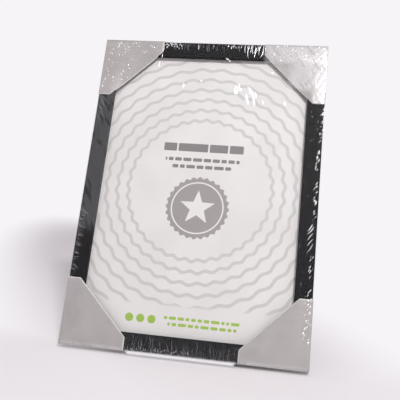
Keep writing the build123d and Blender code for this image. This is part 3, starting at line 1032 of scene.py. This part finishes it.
def dome(radius, head_radius, height, edge):
    """Height of a domed head at a radius."""
    return edge + (height - edge) * math.sqrt(max(0.0, 1 - (radius / head_radius) ** 2))


def lathe(angles, rings):
    """A closed body from rings of (radii, heights), one of each per angle, from its top to its underside."""
    points = []
    for radii, heights in rings:
        for radius, y, angle in zip(radii, heights, angles):
            points.append((radius * math.cos(angle), y, radius * math.sin(angle)))
    return points, tube(len(rings), len(angles))


def screw_head():
    """Domed screw head with a cross recess and a stub of shank, on its button."""
    corner = math.atan2(CROSS_HALF, CROSS_ARM)
    quarter = 2 * math.pi / CROSS_ARMS
    offsets = [-corner, 0.0] + list(np.linspace(corner, quarter - corner, SCREW_STEPS)[:-1])
    angles = [arm * quarter + offset for arm in range(CROSS_ARMS) for offset in offsets]
    reaches = []
    for angle in angles:
        off = abs((angle + quarter / 2) % quarter - quarter / 2)
        side_reach = CROSS_HALF / math.sin(off) if off > corner / 2 else CROSS_ARM
        reaches.append(min(CROSS_ARM / math.cos(off), side_reach))
    top = SCREW_SEAT + SCREW_HEAD_HEIGHT
    rings = []
    for share, sunk in CROSS_RINGS:
        rings.append(([share * reach for reach in reaches], [top - sunk * CROSS_DEPTH] * len(angles)))
    for share in SCREW_RINGS:
        radii = [reach + share * (SCREW_HEAD_RADIUS - reach) for reach in reaches]
        heights = [dome(radius, SCREW_HEAD_RADIUS, SCREW_HEAD_HEIGHT, SCREW_HEAD_EDGE) for radius in radii]
        rings.append((radii, [SCREW_SEAT + height for height in heights]))
    skirt = ((SCREW_HEAD_RADIUS, SCREW_SEAT), (SCREW_RADIUS, SCREW_SEAT), (SCREW_RADIUS, SCREW_DEPTH))
    for radius, y in skirt:
        rings.append(([radius] * len(angles), [y] * len(angles)))
    return lathe(angles, rings)


def rivet_body(head_radius, grip):
    """Round-headed rivet on y = 0, with a flush tail at a depth of grip."""
    angles = [2 * math.pi * i / ROUND_STEPS for i in range(ROUND_STEPS)]
    line = []
    for share in RIVET_RINGS:
        radius = head_radius * share
        line.append((radius, dome(radius, head_radius, RIVET_HEAD_HEIGHT, RIVET_HEAD_EDGE)))
    line += [(head_radius, 0.0), (RIVET_RADIUS, 0.0), (RIVET_RADIUS, RIVET_TAIL_DEPTH - grip)]
    line += [(RIVET_TAIL_RADIUS, RIVET_TAIL_DEPTH - grip), (RIVET_TAIL_RADIUS, -grip)]
    line.append((RIVET_RADIUS / 2, -grip))
    return lathe(angles, [([radius] * ROUND_STEPS, [y] * ROUND_STEPS) for radius, y in line])


def fasteners(name, body, shape, places, stands_for, finish):
    """Copies of one fastener in one piece."""
    shape_points, shape_faces = shape
    points = []
    faces = []
    for place in places:
        faces += [tuple(len(points) + i for i in face) for face in shape_faces]
        points += placed(place, shape_points)
    made = piece(name, body, points, faces, [finish], [stands_for])
    made.modifiers.new("edges", "EDGE_SPLIT").split_angle = SHARP_ANGLE


def rounded_path(corners, radii):
    """Points along straight runs that are joined by arcs."""
    path = [corners[0]]
    for before, here, after, radius in zip(corners, corners[1:], corners[2:], radii):
        back, ahead = (before - here).normalized(), (after - here).normalized()
        half = back.angle(ahead) / 2
        middle = here + (back + ahead).normalized() * radius / math.sin(half)
        start = here + back * radius / math.tan(half) - middle
        end = here + ahead * radius / math.tan(half) - middle
        path += [middle + radius * start.slerp(end, i / ARC_STEPS) for i in range(ARC_STEPS + 1)]
    return path + [corners[-1]]


# Hanger rings
LOOP_HALF_BASE = 9.0
LOOP_HEIGHT = 17.0
LOOP_BASE_ROUND = 2.0
LOOP_TIP_ROUND = 2.5
LOOP_SPLIT = 0.3


def wire_ring(name, body, place, stands_for, finish):
    """Triangular loop of wire that hangs down the z axis from its strap, split in its base."""
    half_split = LOOP_SPLIT / 2
    half = [(half_split, 0.0), (LOOP_HALF_BASE, 0.0)]
    outline = half + [(0.0, -LOOP_HEIGHT)] + [(-x, z) for x, z in reversed(half)]
    corners = [Vector((x, 0.0, z)) for x, z in outline]
    path = rounded_path(corners, [LOOP_BASE_ROUND, LOOP_TIP_ROUND, LOOP_BASE_ROUND])
    depth_axis = Vector((0.0, 1.0, 0.0))
    points = []
    for i, centre in enumerate(path):
        ahead = (path[min(i + 1, len(path) - 1)] - path[max(i - 1, 0)]).normalized()
        beside = depth_axis.cross(ahead)
        for turn in (2 * math.pi * j / WIRE_SIDES for j in range(WIRE_SIDES)):
            points.append(centre + WIRE_RADIUS * (math.cos(turn) * beside + math.sin(turn) * depth_axis))
    faces = tube(len(path), WIRE_SIDES)
    piece(name, body, placed(place, points), faces, [finish], [stands_for])


# Rivets: places from the strut's hinge, and from the axis of a hanger's ring
HINGE_RIVET_RADIUS = 3.0
STRAP_RIVET_RADIUS = 2.2
BOARD_RIVET_AT = (12.0, -1.6, 14.0)
STRUT_RIVET_AT = (9.0, 1.6, -14.0)
HINGE_GRIP = 3.8
STRAP_RIVET_REACH = 9.0
STRAP_RIVET_SEAT = -1.1
STRAP_GRIP = 3.7


def small_steel(finish):
    """Screws, rivets and hanger rings."""
    draw = random.Random(SCREW_SEED)
    screws = []
    for i in BUTTONS:
        turned = Matrix.Rotation(draw.uniform(0.0, math.pi / 2), 4, "Y")
        screws.append(stand_at(f"turn_button_{i}_pivot", turned))
    fasteners("button_screws", "frame", screw_head(), screws, "turn_button_screws", finish)
    for name, body, at, opened in (
        ("hinge_board_rivets", "frame", BOARD_RIVET_AT, 0.0),
        ("hinge_strut_rivets", "strut", STRUT_RIVET_AT, OPEN),
    ):
        hinge = stand_at("strut_hinge", Matrix.Rotation(opened, 4, "X"))
        places = [hinge @ Matrix.Translation((side * at[0], at[1], at[2])) for side in (-1, 1)]
        fasteners(f"round_{name}", body, rivet_body(HINGE_RIVET_RADIUS, HINGE_GRIP), places, name, finish)
    straps = [
        stand_at("ring_top_swing") @ Matrix.Translation((0.0, STRAP_RIVET_SEAT, -STRAP_RIVET_REACH)),
        stand_at("ring_side_swing") @ Matrix.Translation((-STRAP_RIVET_REACH, STRAP_RIVET_SEAT, 0.0)),
    ]
    strap_rivet = rivet_body(STRAP_RIVET_RADIUS, STRAP_GRIP)
    fasteners("round_hanger_rivets", "frame", strap_rivet, straps, "hanger_rivets", finish)
    plumb = stand_at("ring_top_swing", Matrix.Rotation(LEAN, 4, "X"))
    level = Matrix.Rotation(math.pi / 2, 4, "Y") @ Matrix.Rotation(math.pi / 2, 4, "X")
    level = stand_at("ring_side_swing", level)
    wire_ring("wire_ring_top", "ring_top", plumb, "hanger_ring_top", finish)
    wire_ring("wire_ring_side", "ring_side", level, "hanger_ring_side", finish)


# Stage, light and camera, in metres in the shared frame, with the camera where the photo's outline puts it
CAMERA_AT = Vector((0.08948, -0.58081, 0.17606))
CAMERA_AIM = Vector((0.00308, -0.01987, 0.14862))
CAMERA_ROLL = math.radians(3.72)
CAMERA_LENS = 51.74
CAMERA_SENSOR = 36.0
KEY_FROM = Vector((0.45, -1.10, 1.23))
KEY_SIZE = 0.19
KEY_POWER = 14.4
AMBIENT = 0.54
FLOOR_HALF = 6.0


def stage():
    """The floor that the frame stands on."""
    mesh = bpy.data.meshes.new("floor")
    corners = [(x * FLOOR_HALF, y * FLOOR_HALF, 0.0) for x, y in ((-1, -1), (1, -1), (1, 1), (-1, 1))]
    mesh.from_pydata(corners, [], [(0, 1, 2, 3)])
    mesh.materials.append(floor_material())
    made = bpy.data.objects.new("floor", mesh)
    bpy.context.scene.collection.objects.link(made)


def light():
    """A soft lamp from above on the right, and a white room."""
    world = bpy.data.worlds.new("studio")
    bpy.context.scene.world = world
    world.use_nodes = True
    tree = world.node_tree
    tree.nodes.clear()
    strength = ramp(tree, seen_directly(tree), 0.0, 1.0, AMBIENT, 1.0)
    shade = node(tree, "Background", {"Color": BACKDROP, "Strength": strength})
    node(tree, "OutputWorld", {"Surface": shade.outputs[0]})
    lamp = bpy.data.lights.new("key", "AREA")
    lamp.size = KEY_SIZE
    lamp.energy = KEY_POWER
    made = bpy.data.objects.new("key", lamp)
    made.location = KEY_FROM
    made.rotation_euler = (CAMERA_AIM - KEY_FROM).to_track_quat("-Z", "Y").to_euler()
    bpy.context.scene.collection.objects.link(made)


def camera():
    """The photo's camera, with its slight roll."""
    data = bpy.data.cameras.new("camera")
    data.lens = CAMERA_LENS
    data.sensor_width = CAMERA_SENSOR
    made = bpy.data.objects.new("camera", data)
    level = (CAMERA_AIM - CAMERA_AT).to_track_quat("-Z", "Y").to_matrix().to_4x4()
    made.matrix_world = Matrix.Translation(CAMERA_AT) @ level @ Matrix.Rotation(CAMERA_ROLL, 4, "Z")
    bpy.context.scene.collection.objects.link(made)
    bpy.context.scene.camera = made


# Finishes on the CAD's own pieces, then the pieces that are drawn here
card_finishes = [silver_material(), core_material()]
steel = steel_material()
plates = ["hinge_board_leaf", "hinge_strut_leaf", "hanger_plate_top", "hanger_plate_side"]
buttons = [f"turn_button_{i}" for i in BUTTONS]
finish_nodes(["rail_top", "rail_bottom"], moulding_material("moulding_level", DRAWN_LEVEL))
finish_nodes(["rail_left", "rail_right"], moulding_material("moulding_upright", DRAWN_UPRIGHT))
finish_nodes(["glazing"], pane_material())
finish_nodes(["insert_sheet"], print_material())
finish_nodes(["filler_card"], filler_material())
finish_nodes(["backing_board", "strut"], board_material(), BOARD_EDGE)
finish_nodes(plates, steel, PLATE_EDGE)
finish_nodes(buttons + ["hinge_pin"], steel, BUTTON_EDGE)
finish_nodes(["corner_v_nails"], steel)
small_steel(steel)
for top in ("top", "bottom"):
    for side in ("left", "right"):
        card_corner(top, side, card_finishes)
clear_wrap()
stage()
light()
camera()
bpy.context.scene.view_settings.view_transform = "Standard"
